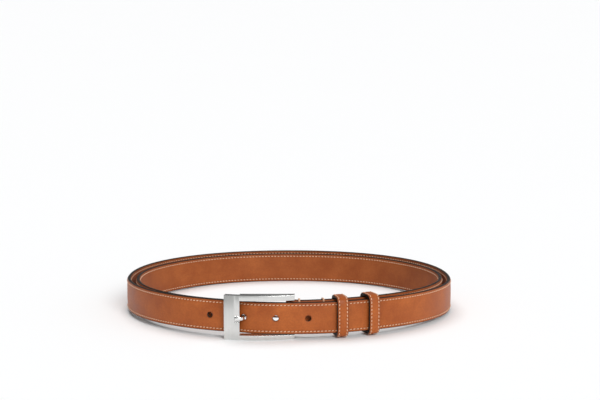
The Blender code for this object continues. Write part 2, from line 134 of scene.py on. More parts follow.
def along_route(route, angle):
    """Value at a turn angle, eased between a route's given values."""
    for (a, low), (b, high) in zip(route, route[1:]):
        if angle <= b:
            return low + (high - low) * smooth(max(0.0, angle - a) / (b - a))
    return route[-1][1]


def strap_depth(angle):
    """Depth of the strap's middle inside the oval."""
    return along_route(STRAP_ROUTE, angle)


def oval(angle):
    """Point of the oval at a turn angle, and its outward normal."""
    turn = math.radians(angle)
    across, forward = math.sin(turn), math.cos(turn)
    depth, power = (OVAL_FRONT, 2.0) if forward > 0 else (OVAL_BACK, BACK_POWER)
    across = math.copysign(abs(across) ** (2.0 / power), across)
    forward = math.copysign(abs(forward) ** (2.0 / power), forward)
    normal = Vector((math.copysign(abs(across) ** (power - 1.0), across) / OVAL_HALF_WIDTH,
                     -math.copysign(abs(forward) ** (power - 1.0), forward) / depth))
    return Vector((OVAL_HALF_WIDTH * across, -depth * forward)), normal.normalized()


def place(angle, depth):
    point, normal = oval(angle)
    return point - normal * depth


def strap_middle(angle):
    """Height of the strap's middle line."""
    return STRAP_WIDTH / 2 + along_route(LIFT_ROUTE, angle) * (1.0 + math.cos(math.radians(angle))) / 2


def direction(angle):
    """Unit vector along the oval."""
    return (place(angle + 0.05, 0.0) - place(angle - 0.05, 0.0)).normalized()


def measure_strap(step=0.05):
    """Turn angles every step degrees, and the length of strap up to each."""
    angles, lengths = [0.0], [0.0]
    last = place(0.0, strap_depth(0.0))
    for k in range(1, int(STRAP_END / step) + 1):
        here = place(k * step, strap_depth(k * step))
        angles.append(k * step)
        lengths.append(lengths[-1] + (here - last).length)
        last = here
    return angles, lengths


TURN, LENGTH = measure_strap()


def between(value, table_in, table_out):
    k = min(max(bisect.bisect_left(table_in, value), 1), len(table_in) - 1)
    share = (value - table_in[k - 1]) / (table_in[k] - table_in[k - 1])
    return table_out[k - 1] + (table_out[k] - table_out[k - 1]) * share


def length_at(angle):
    return between(angle, TURN, LENGTH)


def angle_at(length):
    return between(length, LENGTH, TURN)


def hole_angles():
    """Turn angles of the front row of holes, and of the hole near the tip."""
    middle = length_at(MIDDLE_HOLE_ANGLE)
    steps = range(-HOLES_EACH_WAY, HOLES_EACH_WAY + 1)
    return [angle_at(middle + HOLE_PITCH * k) for k in steps] + [TAIL_HOLE_ANGLE]


HOLES = hole_angles()


def strap_stations(start, end, step=1.0, fine=0.4):
    """Turn angles a step apart along the strap, closer round the holes and at the tip."""
    holes = [length_at(angle) for angle in HOLES]
    length, stop, angles = length_at(start), length_at(end), []
    while length < stop - 0.1:
        angles.append(angle_at(length))
        near = min(abs(length - hole) for hole in holes) < 4.5 or stop - length < TIP_ROUNDING + 0.5
        length += fine if near else step
    return angles + [end]


# ---------------------------------------------------------------- materials

def new_material(name):
    made = bpy.data.materials.new(name)
    made.use_nodes = True
    return made, made.node_tree, made.node_tree.nodes["Principled BSDF"]


def node(tree, kind, values=None, **settings):
    """New node, with values for its input sockets by name and settings for its properties."""
    made = tree.nodes.new("ShaderNode" + kind)
    for key, value in settings.items():
        setattr(made, key, value)
    for key, value in (values or {}).items():
        if hasattr(value, "is_output"):
            tree.links.new(value, made.inputs[key])
        else:
            made.inputs[key].default_value = value
    return made


def ramp(tree, source, low, high, dark, light):
    """Source value, stretched from low..high to dark..light."""
    return node(tree, "MapRange", {"Value": source, "From Min": low, "From Max": high,
                                   "To Min": dark, "To Max": light}).outputs["Result"]


def scaled_space(tree, scale):
    """Object coordinates, scaled by axis."""
    space = node(tree, "TexCoord").outputs["Object"]
    return node(tree, "Mapping", {"Vector": space, "Scale": scale}).outputs["Vector"]


def noise(tree, space, scale, detail=3.0, roughness=0.55):
    return node(tree, "TexNoise", {"Vector": space, "Scale": scale, "Detail": detail,
                                   "Roughness": roughness}).outputs["Fac"]


def mix_colour(tree, factor, a, b, blend="MIX"):
    mixed = node(tree, "Mix", data_type="RGBA", blend_type=blend)
    for socket, value in ((0, factor), (6, a), (7, b)):
        if hasattr(value, "is_output"):
            tree.links.new(value, mixed.inputs[socket])
        else:
            mixed.inputs[socket].default_value = value
    return mixed.outputs[2]


def bump(tree, height, strength, distance, below=None):
    values = {"Height": height, "Strength": strength, "Distance": distance}
    if below:
        values["Normal"] = below
    return node(tree, "Bump", values).outputs["Normal"]


def leather_material(name, base, worn_and_shade, grain, roughness, gloss):
    """Smooth dyed leather: pebbled grain, pores, lengthwise drawing marks, mottled dye, darker where worn at
    the edges, and painted shade along the stitch grooves.
    """
    made, tree, shader = new_material(name)
    even = scaled_space(tree, (1.0, 1.0, 1.0))
    drawn = scaled_space(tree, (0.07, 0.07, 1.0))
    mottle = noise(tree, even, 55.0, 4.0)
    speckle = noise(tree, even, 700.0, 2.0)
    streak = noise(tree, drawn, 900.0, 3.0)
    cells = node(tree, "TexVoronoi", {"Vector": even, "Scale": 1150.0, "Randomness": 0.9},
                 feature="DISTANCE_TO_EDGE").outputs["Distance"]
    pores = node(tree, "TexVoronoi", {"Vector": even, "Scale": 620.0}, feature="F1").outputs["Distance"]

    dark = (base[0] * 0.80, base[1] * 0.72, base[2] * 0.66, 1.0)
    light = (base[0] * 1.10, base[1] * 1.14, base[2] * 1.18, 1.0)
    colour = mix_colour(tree, ramp(tree, mottle, 0.32, 0.68, 0.0, 1.0), dark, light)
    colour = mix_colour(tree, ramp(tree, streak, 0.35, 0.65, 0.0, 0.22), colour, dark)
    colour = mix_colour(tree, ramp(tree, speckle, 0.42, 0.60, 0.16, 0.0), colour, (*worn_and_shade, 1.0))
    colour = mix_colour(tree, ramp(tree, pores, 0.0, 0.16, 0.45, 0.0), colour, (*worn_and_shade, 1.0))
    # the attribute darkens real wear at the edges and paints shade into the stitch grooves
    wear_and_shade = node(tree, "Attribute", attribute_name="wear_and_shade").outputs["Fac"]
    colour = mix_colour(tree, wear_and_shade, colour, (*worn_and_shade, 1.0))
    tree.links.new(colour, shader.inputs["Base Color"])

    rough = ramp(tree, mottle, 0.3, 0.7, roughness - 0.05, roughness + 0.06)
    tree.links.new(rough, shader.inputs["Roughness"])
    shader.inputs["Specular IOR Level"].default_value = gloss
    shader.inputs["Sheen Weight"].default_value = 0.04
    shader.inputs["Sheen Roughness"].default_value = 0.5
    relief = bump(tree, ramp(tree, cells, 0.0, 0.22, 0.0, 1.0), grain, 0.00005)
    relief = bump(tree, ramp(tree, pores, 0.0, 0.14, 0.0, 1.0), grain, 0.00005, relief)
    relief = bump(tree, streak, grain * 0.6, 0.00012, relief)
    relief = bump(tree, mottle, grain * 0.5, 0.0006, relief)
    tree.links.new(relief, shader.inputs["Normal"])
    return made


def edge_material(name, base, roughness):
    """Burnished, painted leather edge: thick glossy paint with a slightly lumpy surface."""
    made, tree, shader = new_material(name)
    even = scaled_space(tree, (1.0, 1.0, 1.0))
    lumps = noise(tree, even, 260.0, 3.0)
    fine = noise(tree, even, 1500.0, 2.0)
    light = (base[0] * 1.8, base[1] * 1.7, base[2] * 1.6, 1.0)
    colour = mix_colour(tree, ramp(tree, lumps, 0.4, 0.7, 0.0, 1.0), (*base, 1.0), light)
    tree.links.new(colour, shader.inputs["Base Color"])
    tree.links.new(ramp(tree, lumps, 0.3, 0.7, roughness - 0.07, roughness + 0.1), shader.inputs["Roughness"])
    shader.inputs["Specular IOR Level"].default_value = 0.3
    relief = bump(tree, lumps, 0.5, 0.0003)
    relief = bump(tree, fine, 0.3, 0.00005, relief)
    tree.links.new(relief, shader.inputs["Normal"])
    return made


def thread_material(name, base, shade):
    """Waxed twisted thread: fine diagonal strands."""
    made, tree, shader = new_material(name)
    slanted = node(tree, "Mapping", {"Vector": node(tree, "TexCoord").outputs["Object"],
                                     "Rotation": (0.6, 0.5, 0.7)}).outputs["Vector"]
    strands = node(tree, "TexWave", {"Vector": slanted, "Scale": 620.0, "Distortion": 1.2, "Detail": 1.0},
                   wave_type="BANDS").outputs["Fac"]
    wax = noise(tree, slanted, 300.0, 3.0)
    colour = mix_colour(tree, ramp(tree, strands, 0.1, 0.8, 0.35, 0.0), (*base, 1.0), (*shade, 1.0))
    colour = mix_colour(tree, ramp(tree, wax, 0.35, 0.7, 0.22, 0.0), colour, (*shade, 1.0))
    tree.links.new(colour, shader.inputs["Base Color"])
    tree.links.new(ramp(tree, wax, 0.3, 0.7, 0.45, 0.62), shader.inputs["Roughness"])
    shader.inputs["Sheen Weight"].default_value = 0.15
    tree.links.new(bump(tree, strands, 0.6, 0.00006), shader.inputs["Normal"])
    return made


def metal_material(name, base, roughness, brushing, spread):
    """Nickel-plated metal, brushed along Z, with faint handling marks."""
    made, tree, shader = new_material(name)
    brushed = scaled_space(tree, (1.0, 1.0, 0.025))
    even = scaled_space(tree, (1.0, 1.0, 1.0))
    lines = noise(tree, brushed, 2600.0, 4.0, 0.7)
    broad = noise(tree, brushed, 420.0, 2.0)
    marks = noise(tree, even, 90.0, 4.0)
    dark = tuple(c * (1.0 - brushing) for c in base)
    colour = mix_colour(tree, ramp(tree, lines, 0.3, 0.7, 0.0, 1.0), (*dark, 1.0), (*base, 1.0))
    colour = mix_colour(tree, ramp(tree, broad, 0.35, 0.65, brushing, 0.0), colour, (*dark, 1.0))
    tree.links.new(colour, shader.inputs["Base Color"])
    shader.inputs["Metallic"].default_value = 1.0
    tree.links.new(ramp(tree, marks, 0.3, 0.7, roughness - spread, roughness + spread),
                   shader.inputs["Roughness"])
    relief = bump(tree, lines, brushing * 2.0, 0.00001)
    tree.links.new(relief, shader.inputs["Normal"])
    return made


def board_material(name, base):
    """Raw fibre board or a punched leather wall: rough and fibrous."""
    made, tree, shader = new_material(name)
    fibres = noise(tree, scaled_space(tree, (1.0, 1.0, 3.0)), 900.0, 5.0, 0.7)
    dark = tuple(c * 0.55 for c in base)
    colour = mix_colour(tree, ramp(tree, fibres, 0.3, 0.7, 0.0, 1.0), (*dark, 1.0), (*base, 1.0))
    tree.links.new(colour, shader.inputs["Base Color"])
    tree.links.new(ramp(tree, fibres, 0.3, 0.7, 0.75, 0.95), shader.inputs["Roughness"])
    tree.links.new(bump(tree, fibres, 0.7, 0.0002), shader.inputs["Normal"])
    return made


def floor_material(name, base):
    made, tree, shader = new_material(name)
    tone = noise(tree, scaled_space(tree, (1.0, 1.0, 1.0)), 3.0, 2.0)
    shade = tuple(c * 0.995 for c in base)
    colour = mix_colour(tree, tone, (*base, 1.0), (*shade, 1.0))
    tree.links.new(colour, shader.inputs["Base Color"])
    shader.inputs["Roughness"].default_value = 0.9
    shader.inputs["Specular IOR Level"].default_value = 0.1
    return made


# the second colour of each leather serves pores, speckles, worn edges and the painted shade in the stitch
# grooves
TAN = leather_material("tan_leather", (0.42, 0.107, 0.021), (0.15, 0.034, 0.009), 0.35, 0.46, 0.24)
TAN_INSIDE = leather_material("tan_lining", (0.35, 0.094, 0.023), (0.14, 0.036, 0.012), 0.5, 0.58, 0.18)
DARK_LINING = leather_material("dark_lining", (0.020, 0.010, 0.006), (0.010, 0.005, 0.003), 0.5, 0.6, 0.15)
EDGE = edge_material("edge_paint", (0.014, 0.008, 0.005), 0.36)
RAW = board_material("punched_wall", (0.06, 0.026, 0.013))
THREAD = thread_material("ecru_thread", (0.80, 0.48, 0.30), (0.46, 0.23, 0.13))
SATIN = metal_material("satin_nickel", (0.74, 0.74, 0.725), 0.30, 0.10, 0.04)
POLISHED = metal_material("polished_nickel", (0.82, 0.82, 0.81), 0.10, 0.03, 0.03)


# ---------------------------------------------------------------- mesh helpers

def to_world(point):
    """Point in the coil's millimetres, as a place in the scene."""
    return (point[0] * MM, (point[1] + COIL_CENTRE_Y) * MM, point[2] * MM)


def new_piece(name, mesh, looks):
    for look in looks:
        mesh.materials.append(look)
    obj = bpy.data.objects.new(name, mesh)
    bpy.context.scene.collection.objects.link(obj)
    return obj


def adopt(piece, body, cad_node):
    """Put a piece in a CAD node's place, once its box agrees with the node's."""
    low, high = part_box(cad_node)
    corners = [piece.matrix_world @ Vector(c) for c in piece.bound_box]
    for axis in range(3):
        own = [c[axis] for c in corners]
        if abs(min(own) - low[axis]) > 0.0015 or abs(max(own) - high[axis]) > 0.0015:
            raise ValueError(f"{piece.name} is out of place against {cad_node} on axis {axis}: "
                             f"{min(own):.4f}..{max(own):.4f}, not {low[axis]:.4f}..{high[axis]:.4f}")
    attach(piece, body)
    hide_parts(cad_node)


def sweep(name, rings, looks, segment_look=None, wear_and_shade=None):
    """Closed solid through rings of points, each ring a closed section of the same count."""
    count = len(rings[0])
    verts = [to_world(p) for ring in rings for p in ring]
    faces, indices = [], []
    for start in range(0, (len(rings) - 1) * count, count):
        for k in range(count):
            after = (k + 1) % count
            faces.append((start + k, start + after, start + count + after, start + count + k))
            indices.append(segment_look[k] if segment_look else 0)
    last = (len(rings) - 1) * count
    faces.append(tuple(range(count - 1, -1, -1)))
    faces.append(tuple(range(last, last + count)))
    indices += [len(looks) - 1] * 2
    mesh = bpy.data.meshes.new(name)
    mesh.from_pydata(verts, [], faces)
    mesh.polygons.foreach_set("material_index", indices)
    mesh.polygons.foreach_set("use_smooth", [True] * (len(faces) - 2) + [False] * 2)
    # per-point darkening: wear at the edges, painted shade in the stitch grooves
    if wear_and_shade:
        mesh.attributes.new("wear_and_shade", "FLOAT", "POINT").data.foreach_set("value", wear_and_shade)
    bm = bmesh.new()
    bm.from_mesh(mesh)
    bmesh.ops.recalc_face_normals(bm, faces=bm.faces)
    bm.to_mesh(mesh)
    bm.free()
    return new_piece(name, mesh, looks)


def applied(obj, *cutters):
    """Turn an object's modifiers into mesh, and remove the cutters that they used."""
    mesh = bpy.data.meshes.new_from_object(obj.evaluated_get(bpy.context.evaluated_depsgraph_get()))
    obj.modifiers.clear()
    obj.data = mesh
    for cutter in cutters:
        bpy.data.objects.remove(cutter)
    return obj


def cut(obj, cutter, operation="DIFFERENCE"):
    boolean = obj.modifiers.new("cut", "BOOLEAN")
    boolean.operation = operation
    boolean.object = cutter
    boolean.solver = "EXACT"
    boolean.material_mode = "TRANSFER"
    cutter.hide_render = True


def smooth_route(points, per_span):
    """Catmull-Rom curve through a list of plan points."""
    ends = [2 * Vector(points[0]) - Vector(points[1])] + [Vector(p) for p in points]
    ends.append(2 * Vector(points[-1]) - Vector(points[-2]))
    curve = []
    for a, b, c, d in zip(ends, ends[1:], ends[2:], ends[3:]):
        for k in range(per_span):
            t = k / per_span
            curve.append(0.5 * (2 * b + (c - a) * t + (2 * a - 5 * b + 4 * c - d) * t * t
                                + (3 * b - a - 3 * c + d) * t ** 3))
    return curve + [Vector(points[-1])]


def tube(path, radius, sides=8):
    """Rings of a round wire along a list of points, with rounded ends."""
    path = [Vector(p) for p in path]
    rings = []
    last = len(path) - 1
    side = None
    turn = [2 * math.pi * j / sides for j in range(sides)]
    for k, point in enumerate(path):
        ahead = (path[min(k + 1, last)] - path[max(k - 1, 0)]).normalized()
        if side is None:
            side = ahead.orthogonal().normalized()
        side = (side - ahead * side.dot(ahead)).normalized()
        other = ahead.cross(side)
        for shift, share in (((-0.7, 0.5), (-0.3, 0.85)) if k == 0 else ()):
            middle = point + ahead * shift * radius
            rings.append([middle + (side * math.cos(a) + other * math.sin(a)) * radius * share for a in turn])
        rings.append([point + (side * math.cos(a) + other * math.sin(a)) * radius for a in turn])
        for shift, share in (((0.3, 0.85), (0.7, 0.5)) if k == last else ()):
            middle = point + ahead * shift * radius
            rings.append([middle + (side * math.cos(a) + other * math.sin(a)) * radius * share for a in turn])
    return rings


def merge(name, groups, looks):
    """One piece from several closed sweeps, each a list of rings."""
    parts = [sweep(f"{name}_{k}", rings, looks) for k, rings in enumerate(groups)]
    bm = bmesh.new()
    for part in parts:
        bm.from_mesh(part.data)
        bpy.data.objects.remove(part)
    mesh = bpy.data.meshes.new(name)
    bm.to_mesh(mesh)
    bm.free()
    return new_piece(name, mesh, looks)


# ---------------------------------------------------------------- strap

# Half of the strap's outer surface, from its middle to its edge: height from the middle line, distance
# from the middle of the thickness, and how much of that distance is crown or stitch groove
HALF_SURFACE = [
    (0.0, 1.55, 0.25), (0.9, 1.55, 0.249), (1.7, 1.55, 0.246), (2.35, 1.55, 0.242), (2.9, 1.55, 0.238),
    (3.6, 1.55, 0.23), (4.6, 1.55, 0.21), (6.0, 1.55, 0.17), (7.4, 1.55, 0.12), (8.6, 1.55, 0.06),
    (9.3, 1.55, 0.02), (9.65, 1.55, -0.04), (9.95, 1.55, -0.14), (10.3, 1.55, -0.2), (10.65, 1.55, -0.14),
    (10.95, 1.55, -0.03), (11.3, 1.55, 0.0), (11.65, 1.50, 0.0), (11.9, 1.40, 0.0), (12.08, 1.24, 0.0),
    (12.17, 1.08, 0.0),
]
PLY_BACK = 0.36
BEAD = [(12.16, 1.16), (12.34, 0.98), (12.50, 0.66), (12.60, 0.24), (12.60, -0.24), (12.50, -0.66),
        (12.34, -0.98), (12.16, -1.16)]
WEB = 0.32


def tip_share(angle):
    """Share of the strap's width that is left near its rounded tip."""
    left = (STRAP_END - angle) * math.radians(1.0) * OVAL_HALF_WIDTH
    if left >= TIP_ROUNDING:
        return 1.0
    lost = TIP_ROUNDING - math.sqrt(TIP_ROUNDING ** 2 - (TIP_ROUNDING - left) ** 2)
    return 1.0 - lost / (STRAP_WIDTH / 2)


def ply_section(crown):
    """Closed section of one ply, outer side first: heights and distances from the strap's middle."""
    half = [(v, u + crown * c) for v, u, c in HALF_SURFACE]
    outer = [(-v, u) for v, u in reversed(half)] + half[1:]
    return outer + [(12.17, PLY_BACK), (6.0, PLY_BACK), (-6.0, PLY_BACK), (-12.17, PLY_BACK)]


def section_looks():
    """Look of each side of the ply's section: 0 leather, 1 painted edge."""
    section = ply_section(1.0)
    looks = []
    for (v0, _), (v1, _) in zip(section, section[1:] + section[:1]):
        looks.append(1 if abs(v0 + v1) / 2 > 12.0 else 0)
    return looks


def edge_wear_and_groove_shade(v):
    """How dark the leather is made at a height: worn most at the edge, and painted shade along the stitch
    groove.
    """
    edge = max(0.0, (abs(v) - 11.2) / 1.0)
    # the darkening along the stitch groove is painted shade
    groove = math.exp(-((abs(v) - STITCH_LINE) / 0.35) ** 2)
    return min(0.85, 0.7 * edge + 0.6 * groove)


def ring_of(base, normal, middle, section, share=1.0):
    return [(base.x + normal.x * u, base.y + normal.y * u, middle + v * share) for v, u in section]


def hole_dent(along, v):
    """How far a punch has pressed the leather in beside its hole."""
    distance = math.hypot(along, v) - HOLE_RADIUS
    return 0.3 * math.exp(-(max(distance, 0.0) / 0.55) ** 2)


def ply_rings(angles, side, crown):
    """Rings and per-point darkening (edge wear and painted groove shade) of one ply along the strap. Side is
    1 for the outer ply and -1 for the lining.
    """
    holes = [length_at(angle) for angle in HOLES]
    rings, wear_and_shade = [], []
    for angle in angles:
        point, normal = oval(angle)
        base = point - normal * strap_depth(angle)
        rise = min(1.0, max(0.0, (angle - STRAP_START) / 6.0))
        length = length_at(angle)
        nearest = min((length - hole for hole in holes), key=abs)
        ring = []
        for v, u in ply_section(crown * rise):
            dent = hole_dent(nearest, v) if u > 1.0 and abs(nearest) < 6.0 and abs(v) < 5.0 else 0.0
            ring.append((v, (u - dent) * side))
            # darker in the pressed-in ring round each hole
            wear_and_shade.append(min(0.8, edge_wear_and_groove_shade(v) + dent * 1.6))
        rings.append(ring_of(base, normal, strap_middle(angle), ring, tip_share(angle)))
    return rings, wear_and_shade


def fold_path():
    """Dense plan path of the outer ply's turned end, with the strap's first points to lead into."""
    flap_depth = STRAP_HALF + GLUE_GAP + FACE_PLY / 2
    wrap = PIN_RADIUS + GLUE_GAP + FACE_PLY / 2
    points = [place(angle, strap_depth(angle) + flap_depth) for angle in FLAP_ANGLES]
    top = Vector((PIVOT[0] + wrap * math.sin(0.25), PIVOT[1] + wrap * math.cos(0.25)))
    points.append(points[-1].lerp(top, 0.5))
    for k in range(11):
        around = math.pi / 2 - 0.25 + (math.pi + 0.25) * k / 10
        points.append(Vector((PIVOT[0] + wrap * math.cos(around), PIVOT[1] + wrap * math.sin(around))))
    leads = [place(angle, strap_depth(angle) + FACE_PLY / 2 - STRAP_HALF) for angle in (STRAP_START, 3.4)]
    return smooth_route(points + leads, 6)[:-6]


def fold_rings():
    """Rings of the turned end, from the flap's edge to where the strap starts."""
    path = fold_path()
    middle = strap_middle(0.0)
    rings, wear_and_shade = [], []
    flat = ply_section(0.0)
    for k, point in enumerate(path[:-1]):
        ahead = (path[k + 1] - path[max(k - 1, 0)]).normalized()
        normal = Vector((ahead.y, -ahead.x))
        base = point - normal * (STRAP_HALF - FACE_PLY / 2)
        # the flap's end is skived thinner
        thin = 1.0 - 0.45 * max(0.0, 1.0 - k / 8.0)
        section = [(v, PLY_BACK + (u - PLY_BACK) * thin) for v, u in flat]
        rings.append(ring_of(base, normal, middle, section))
        wear_and_shade += [edge_wear_and_groove_shade(v) for v, _ in section]
    return rings, wear_and_shade


def punch_all(name="punch"):
    """One cutter with a round punch for every hole."""
    bm = bmesh.new()
    for angle in HOLES:
        middle = place(angle, strap_depth(angle))
        ahead = place(angle + 0.2, strap_depth(angle + 0.2)) - place(angle - 0.2, strap_depth(angle - 0.2))
        axis = Vector((ahead.y, -ahead.x, 0.0)).normalized()
        turn = Vector((0.0, 0.0, 1.0)).rotation_difference(axis).to_matrix().to_4x4()
        centre = Vector(to_world((middle.x, middle.y, strap_middle(angle))))
        bmesh.ops.create_cone(bm, cap_ends=True, segments=40, radius1=HOLE_RADIUS * MM,
                              radius2=HOLE_RADIUS * MM, depth=4.3 * MM,
                              matrix=Matrix.Translation(centre) @ turn)
    mesh = bpy.data.meshes.new(name)
    bm.to_mesh(mesh)
    bm.free()
    return new_piece(name, mesh, [RAW])


def box_cutter(low, high, look, rounding=0.0):
    """Box between two corners in the coil's millimetres."""
    bm = bmesh.new()
    bmesh.ops.create_cube(bm, size=1.0)
    size = (Vector(high) - Vector(low)) * MM
    middle = Vector(to_world((Vector(high) + Vector(low)) / 2))
    bmesh.ops.scale(bm, vec=size, verts=bm.verts)
    bmesh.ops.translate(bm, vec=middle, verts=bm.verts)
    if rounding:
        bmesh.ops.bevel(bm, geom=list(bm.edges), offset=rounding * MM, segments=4, profile=0.5,
                        affect="EDGES")
    mesh = bpy.data.meshes.new("box_cutter")
    bm.to_mesh(mesh)
    bm.free()
    return new_piece("box_cutter", mesh, [look])


def make_strap():
    looks = section_looks()
    fold, fold_wear_and_shade = fold_rings()
    rings, wear_and_shade = ply_rings(strap_stations(STRAP_START, STRAP_END), 1, 1.0)
    face = sweep("strap_face_leather", fold + rings, [TAN, EDGE], looks, fold_wear_and_shade + wear_and_shade)
    plies = strap_stations(LINING_START, STRAP_END)
    rings, wear_and_shade = ply_rings(plies, -1, 0.45)
    lining = sweep("strap_lining_leather", rings, [TAN_INSIDE, EDGE], looks, wear_and_shade)

    section = [(v, u) for v, u in BEAD] + [(12.16, -WEB), (-12.16, -WEB)]
    section += [(-v, u) for v, u in reversed(BEAD)] + [(-12.16, WEB), (12.16, WEB)]
    rings = []
    for angle in plies:
        point, normal = oval(angle)
        base = point - normal * strap_depth(angle)
        rings.append(ring_of(base, normal, strap_middle(angle), section, tip_share(angle)))
    core = sweep("strap_painted_core", rings, [EDGE])

    punches = punch_all()
    slot = box_cutter((-6.0, -109.3, PRONG_MIDDLE - SLOT_HEIGHT / 2),
                      (9.0, -97.0, PRONG_MIDDLE + SLOT_HEIGHT / 2), EDGE, 1.2)
    for ply in (face, lining, core):
        cut(ply, punches)
    cut(face, slot)
    face.modifiers[-1].use_self = True      # the turned end lies against the strap's start
    for ply in (face, lining, core):
        applied(ply)
    for cutter in (punches, slot):
        bpy.data.objects.remove(cutter)
    adopt(face, "strap", "strap_face")
    adopt(lining, "strap", "strap_lining")
    adopt(core, "strap", "strap_core")


# ---------------------------------------------------------------- stitches

# One stitch from end to end: place along it, its half width, and its height over the leather
STITCH_SHAPE = [(-1.02, 0.12, -0.34), (-0.84, 0.32, -0.12), (-0.38, 0.41, 0.10), (0.38, 0.41, 0.10),
                (0.84, 0.32, -0.12), (1.02, 0.12, -0.34)]
STITCH_SIDES = 6
STITCH_SLANT = math.radians(7.0)


def stitches(name, frames):
    """One piece of single stitches, each at a frame of point, along, across and out."""
    verts, faces = [], []
    ring_angles = [2 * math.pi * (j + 0.5) / STITCH_SIDES for j in range(STITCH_SIDES)]
    for point, along, across, out in frames:
        slant = STITCH_SLANT + rng.uniform(-0.03, 0.03)
        ahead = along * math.cos(slant) + across * math.sin(slant)
        beside = across * math.cos(slant) - along * math.sin(slant)
        swell = rng.uniform(0.94, 1.06)
        start = len(verts)
        for t, width, height in STITCH_SHAPE:
            centre = point + ahead * t + out * height
            for a in ring_angles:
                aside = (beside * math.cos(a) + out * math.sin(a) * 0.8) * width * swell
                verts.append(to_world(centre + aside))
        for r in range(len(STITCH_SHAPE) - 1):
            for j in range(STITCH_SIDES):
                a = start + r * STITCH_SIDES + j
                b = start + r * STITCH_SIDES + (j + 1) % STITCH_SIDES
                faces.append((a, b, b + STITCH_SIDES, a + STITCH_SIDES))
        last = start + (len(STITCH_SHAPE) - 1) * STITCH_SIDES
        faces.append(tuple(range(start + STITCH_SIDES - 1, start - 1, -1)))
        faces.append(tuple(range(last, last + STITCH_SIDES)))
    mesh = bpy.data.meshes.new(name)
    mesh.from_pydata(verts, [], faces)
    mesh.polygons.foreach_set("use_smooth", [True] * len(faces))
    bm = bmesh.new()
    bm.from_mesh(mesh)
    bmesh.ops.recalc_face_normals(bm, faces=bm.faces)
    bm.to_mesh(mesh)
    bm.free()
    return new_piece(name, mesh, [THREAD])


def strap_stitches(side, row, start, end):
    """Stitches along one edge of one face of the strap."""
    facing = 1 if side == "outer" else -1
    sign = 1 if row == "upper" else -1
    frames = []
    first, last = length_at(start), length_at(end)
    count = int((last - first) / STITCH_PITCH)
    for k in range(count):
        angle = angle_at(first + STITCH_PITCH * (k + 0.5))
        point, normal = oval(angle)
        surface = point - normal * (strap_depth(angle) - facing * (STRAP_HALF - 0.02))
        along = direction(angle)
        middle = strap_middle(angle)
        frames.append((Vector((surface.x, surface.y, middle + sign * STITCH_LINE)),
                       Vector((along.x, along.y, 0.0)), Vector((0.0, 0.0, 1.0)),
                       Vector((normal.x, normal.y, 0.0)) * facing))
    piece = stitches(f"stitches_{side}_{row}", frames)
    adopt(piece, "strap", f"edge_thread_{side}_{row}")


def make_tacks():
    """Four bars of wound thread that hold the turned end, two over each edge of the strap."""
    for side, angle in TACK_ANGLES.items():
        middle = strap_depth(angle)
        lift = GLUE_GAP + 0.25
        front = middle - STRAP_HALF - lift
        back = middle + STRAP_HALF + GLUE_GAP + FACE_PLY + lift
        if angle < LINING_START:
            back += 0.9
        along = direction(angle)
        for row, sign in (("upper", 1), ("lower", -1)):
            edge = strap_middle(angle) + sign * (STRAP_WIDTH / 2 + lift)
            leg = edge - sign * (lift + 3.0)
            profile = [(front, leg), (front, edge - sign * 0.8), (front + 0.3, edge - sign * 0.15),
                       (front + 0.9, edge), (back - 0.9, edge), (back - 0.3, edge - sign * 0.15),
                       (back, edge - sign * 0.8), (back, leg)]
            turns = []
            for k in (-1.5, -0.5, 0.5, 1.5):
                path = []
                for depth, height in profile:
                    point = place(angle, depth) + along * (k * 0.34)
                    path.append((point.x, point.y, height))
                turns.append(tube(path, 0.21, 6))
            piece = merge(f"tack_{side}_{row}", turns, [THREAD])
            adopt(piece, "strap", f"fold_tack_{side}_{row}")


# ---------------------------------------------------------------- keepers

def keeper_loop(middle, outwards, steps=120):
    """Depths and heights round the loop, from one side of its back joint to the other."""
    back = KEEPER_TO_BACK + outwards
    points = [(KEEPER_MIDDLE_DEPTH + back, middle + KEEPER_JOINT / 2)]
    for k in range(1, steps):
        turn = 2 * math.pi * k / steps
        across, up = math.cos(turn), math.sin(turn)
        power = 2.0 / (6.0 if across > 0 else 5.0)
        reach = back if across > 0 else KEEPER_TO_FRONT + outwards
        depth = KEEPER_MIDDLE_DEPTH + math.copysign(abs(across) ** power, across) * reach
        height = middle + math.copysign(abs(up) ** power, up) * (KEEPER_HALF_HEIGHT + outwards)
        if abs(height - middle) > KEEPER_JOINT / 2 + 0.1 or across < 0:
            points.append((depth, height))
    points.append((KEEPER_MIDDLE_DEPTH + back, middle - KEEPER_JOINT / 2))
    return points


def even_points(points, step):
    """The same polyline with points about a step apart."""
    path = [Vector(p) for p in points]
    lengths = [0.0]
    for a, b in zip(path, path[1:]):
        lengths.append(lengths[-1] + (b - a).length)
    count = max(2, round(lengths[-1] / step))
    spaced = []
    for k in range(count + 1):
        want = lengths[-1] * k / count
        j = min(max(bisect.bisect_left(lengths, want), 1), len(lengths) - 1)
        share = (want - lengths[j - 1]) / max(lengths[j] - lengths[j - 1], 1e-9)
        spaced.append(path[j - 1].lerp(path[j], share))
    return spaced


def loop_frames(angle, middle, outwards, step):
    """Points and outward directions round the loop, in three dimensions."""
    flat = even_points(keeper_loop(middle, outwards), step)
    _, normal = oval(angle)
    last = len(flat) - 1
    frames = []
    for k, (depth, height) in enumerate(flat):
        ahead = (flat[min(k + 1, last)] - flat[max(k - 1, 0)]).normalized()
        point = place(angle, depth)
        out = Vector((ahead.y, -ahead.x))
        frames.append((Vector((point.x, point.y, height)),
                       Vector((-normal.x * ahead.x, -normal.y * ahead.x, ahead.y)),
                       Vector((-normal.x * out.x, -normal.y * out.x, out.y))))
    return frames


# Half of a loop's section, from its middle: place across, share of the crown or groove
KEEPER_HALF = [(0.0, 0.30), (1.0, 0.27), (1.9, 0.20), (2.55, 0.07), (2.85, -0.06), (3.1, -0.13),
               (3.35, -0.07), (3.6, 0.0), (3.95, -0.04), (4.25, -0.16), (4.42, -0.34)]


